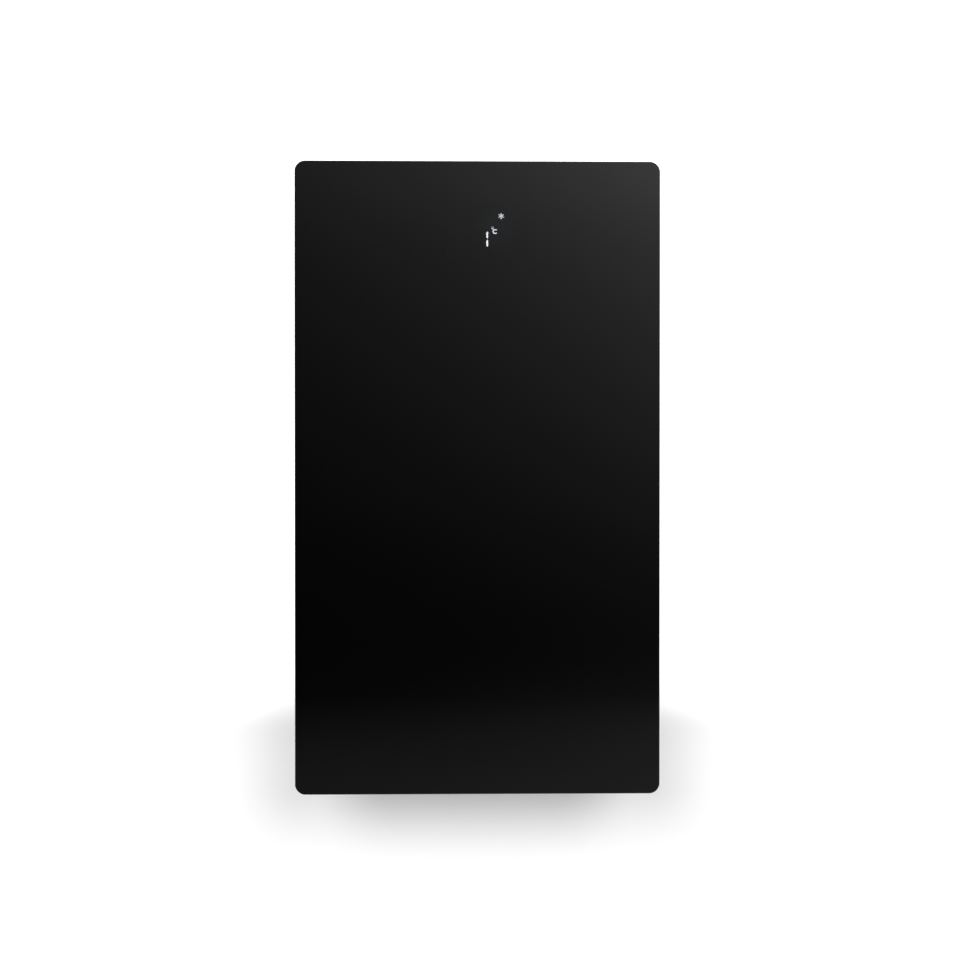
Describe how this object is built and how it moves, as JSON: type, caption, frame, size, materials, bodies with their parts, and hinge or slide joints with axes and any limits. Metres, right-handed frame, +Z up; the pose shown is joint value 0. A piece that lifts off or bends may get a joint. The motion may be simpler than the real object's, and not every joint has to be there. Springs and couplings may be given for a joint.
{
  "type": "wall battery unit",
  "caption": "Slim wall-hung battery with a plain black glass front, a lit temperature display, fold-out side handles, and isolator, cable glands and sockets underneath.",
  "frame": {"origin": "centre of the wall bracket's four bolt holes, on the wall's face", "axes": "+Z up, +Y into the wall, so the glass front faces -Y and +X is to the right seen from the front"},
  "size_m": [0.45, 0.1718, 0.78],
  "materials": {
    "black_glass": "polished, ground edge",
    "ceramic_print": "fired black print",
    "bonding_tape": "matt foam tape",
    "black_moulding": "fine spark texture",
    "powder_coat": "fine-texture powder coat",
    "galvanised": "zinc plated",
    "bare_steel": "satin",
    "black_rubber": "matt",
    "cell_case": "blue film over aluminium",
    "insulator_film": "aramid paper",
    "plate_aluminium": "machined",
    "copper": "nickel flashed copper",
    "insulator_black": "moulded",
    "insulator_orange": "moulded",
    "circuit_board": "solder mask",
    "heatsink_black": "black anodised",
    "lit_white": "lit light pipe",
    "unlit_smoke": "smoked light pipe",
    "fuse_ceramic": "glazed body",
    "grey_moulding": "moulded",
    "signal_grey": "insulation"
  },
  "bodies": {
    "battery": {"bms_board": "circuit_board", "bms_heatsink": "heatsink_black", "board_standoffs": "bare_steel", "bracket_rivets": "bare_steel", "busbar_channels": "insulator_orange", "busbars": "copper", "button_body": "bare_steel", "button_spring": "bare_steel", "cable_lugs": "copper", "cell_spacers": "insulator_film", "cells": "cell_case", "comms_sockets": "circuit_board", "copper_straps": "copper", "cover_gasket": "black_rubber", "cover_screws": "bare_steel", "current_shunt": "copper", "display_board": "circuit_board", "display_lit": "lit_white", "display_mask": "insulator_black", "display_unlit": "unlit_smoke", "earth_terminal": "bare_steel", "end_plates": "plate_aluminium", "equipment_plate": "galvanised", "flap_pin": "bare_steel", "gland_bodies": "insulator_black", "gland_nuts": "insulator_black", "gland_seals": "black_rubber", "handle_cups": "black_moulding", "hanger_rail": "galvanised", "housing_nuts": "bare_steel", "housing_shell": "powder_coat", "inner_cover": "powder_coat", "isolator_body": "insulator_black", "isolator_escutcheon": "grey_moulding", "lower_bracket": "galvanised", "main_fuse": "fuse_ceramic", "module_bands": "bare_steel", "module_bolts": "bare_steel", "module_shelves": "galvanised", "power_cables": "insulator_orange", "signal_cables": "signal_grey", "socket_frame": "black_moulding", "stud_holders": "insulator_black", "stud_sockets": "grey_moulding", "terminal_studs": "bare_steel", "vent_valve": "black_moulding", "wall_bracket": "galvanised"},
    "front_panel": {"front_glass": "black_glass", "glass_print": "ceramic_print", "bonding_tape": "bonding_tape", "panel_carrier": "black_moulding", "panel_studs": "bare_steel"},
    "isolator": {"isolator_shaft": "bare_steel", "isolator_handle": "insulator_black"},
    "button": {"power_button": "bare_steel"},
    "flap": {"socket_flap": "black_moulding"},
    "left_handle": {"left_bail": "bare_steel", "left_grip": "black_rubber"},
    "right_handle": {"right_bail": "bare_steel", "right_grip": "black_rubber"}
  },
  "joints": [
    {"name": "panel_release", "type": "slide", "parent": "battery", "child": "front_panel", "axis": [0, -1, 0], "range_m": [0, 0.06]},
    {"name": "isolator_turn", "type": "hinge", "parent": "battery", "child": "isolator", "pos_m": [0.16, -0.083, -0.549], "axis": [0, 0, -1], "range_deg": [0, 90]},
    {"name": "button_press", "type": "slide", "parent": "battery", "child": "button", "axis": [0, 0, 1], "range_m": [0, 0.0018], "stiffness_N_per_m": 600, "springref_m": -0.001, "deforming": ["button_spring"]},
    {"name": "flap_open", "type": "hinge", "parent": "battery", "child": "flap", "pos_m": [-0.118, -0.067, -0.5483], "axis": [1, 0, 0], "range_deg": [0, 100]},
    {"name": "left_handle_lift", "type": "hinge", "parent": "battery", "child": "left_handle", "pos_m": [-0.21, -0.083, 0.096], "axis": [0, 1, 0], "range_deg": [0, 90]},
    {"name": "right_handle_lift", "type": "hinge", "parent": "battery", "child": "right_handle", "pos_m": [0.21, -0.083, 0.096], "axis": [0, -1, 0], "range_deg": [0, 90]}
  ]
}
